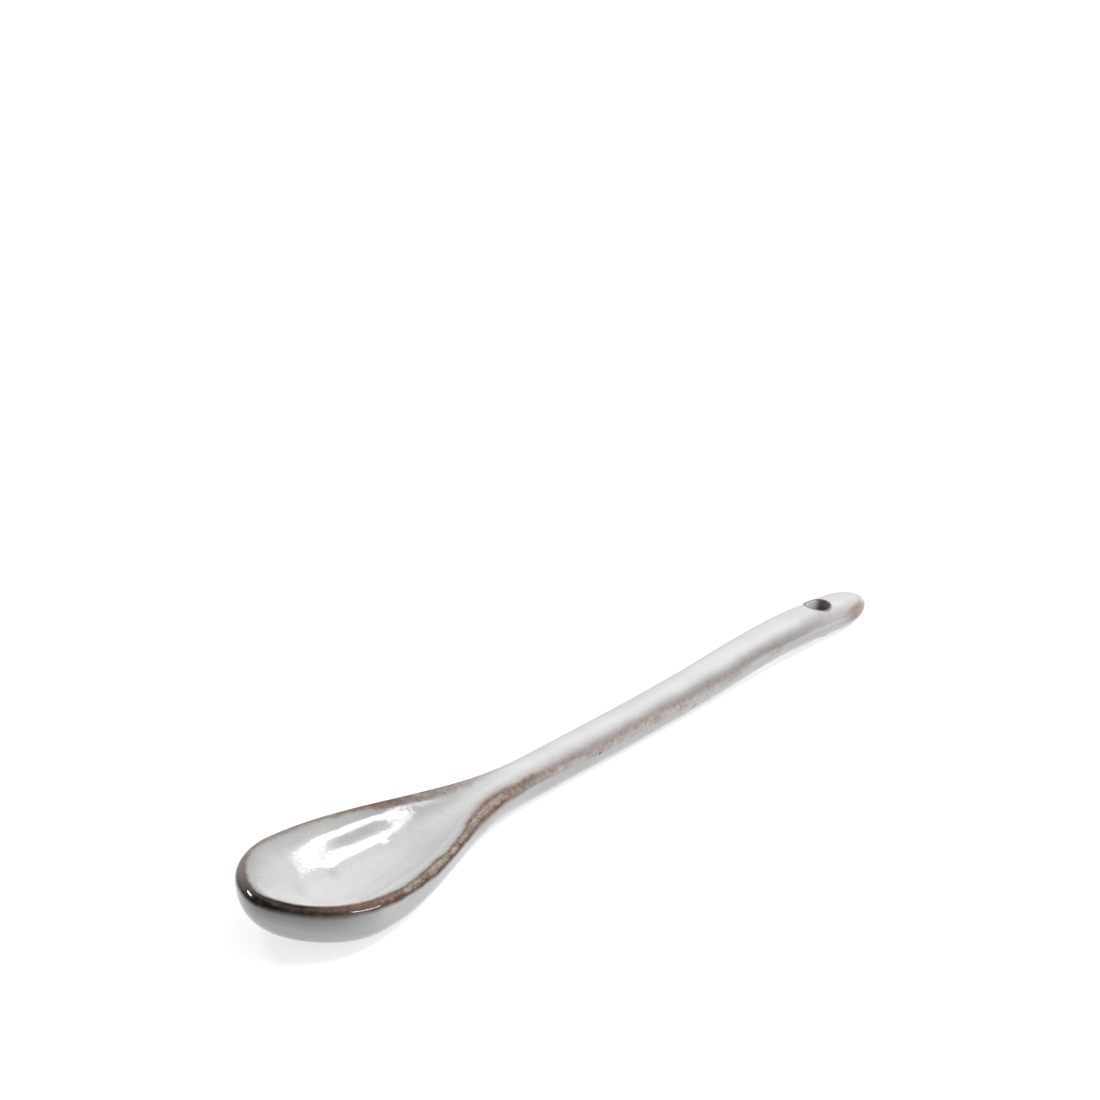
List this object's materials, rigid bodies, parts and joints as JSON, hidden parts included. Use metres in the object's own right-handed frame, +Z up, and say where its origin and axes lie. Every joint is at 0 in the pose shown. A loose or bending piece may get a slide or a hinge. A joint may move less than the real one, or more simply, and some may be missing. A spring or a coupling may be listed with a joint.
{
  "type": "coffee spoon",
  "caption": "One-piece glazed stoneware coffee spoon with a rounded oval bowl, a round handle, a brown break line along its edge and a hanging hole.",
  "frame": {"origin": "on the table, under the centre of the spoon's bounding box", "axes": "+X along the spoon from the bowl to the handle, +Y across it, +Z up out of the bowl"},
  "size_m": [0.13, 0.024, 0.0089],
  "materials": {
    "fired_clay": "bare fired stoneware, seen only inside the hanging hole",
    "white_glaze_top": "glossy white reactive glaze with fine dark specks",
    "white_glaze_under": "glossy white reactive glaze, slightly greyer",
    "brown_glaze": "glossy brown where the glaze has run thin over the edge"
  },
  "bodies": {
    "root": {"stoneware_body": "fired_clay", "upper_white_glaze": "white_glaze_top", "underside_white_glaze": "white_glaze_under", "brown_edge_glaze": "brown_glaze"}
  },
  "joints": []
}
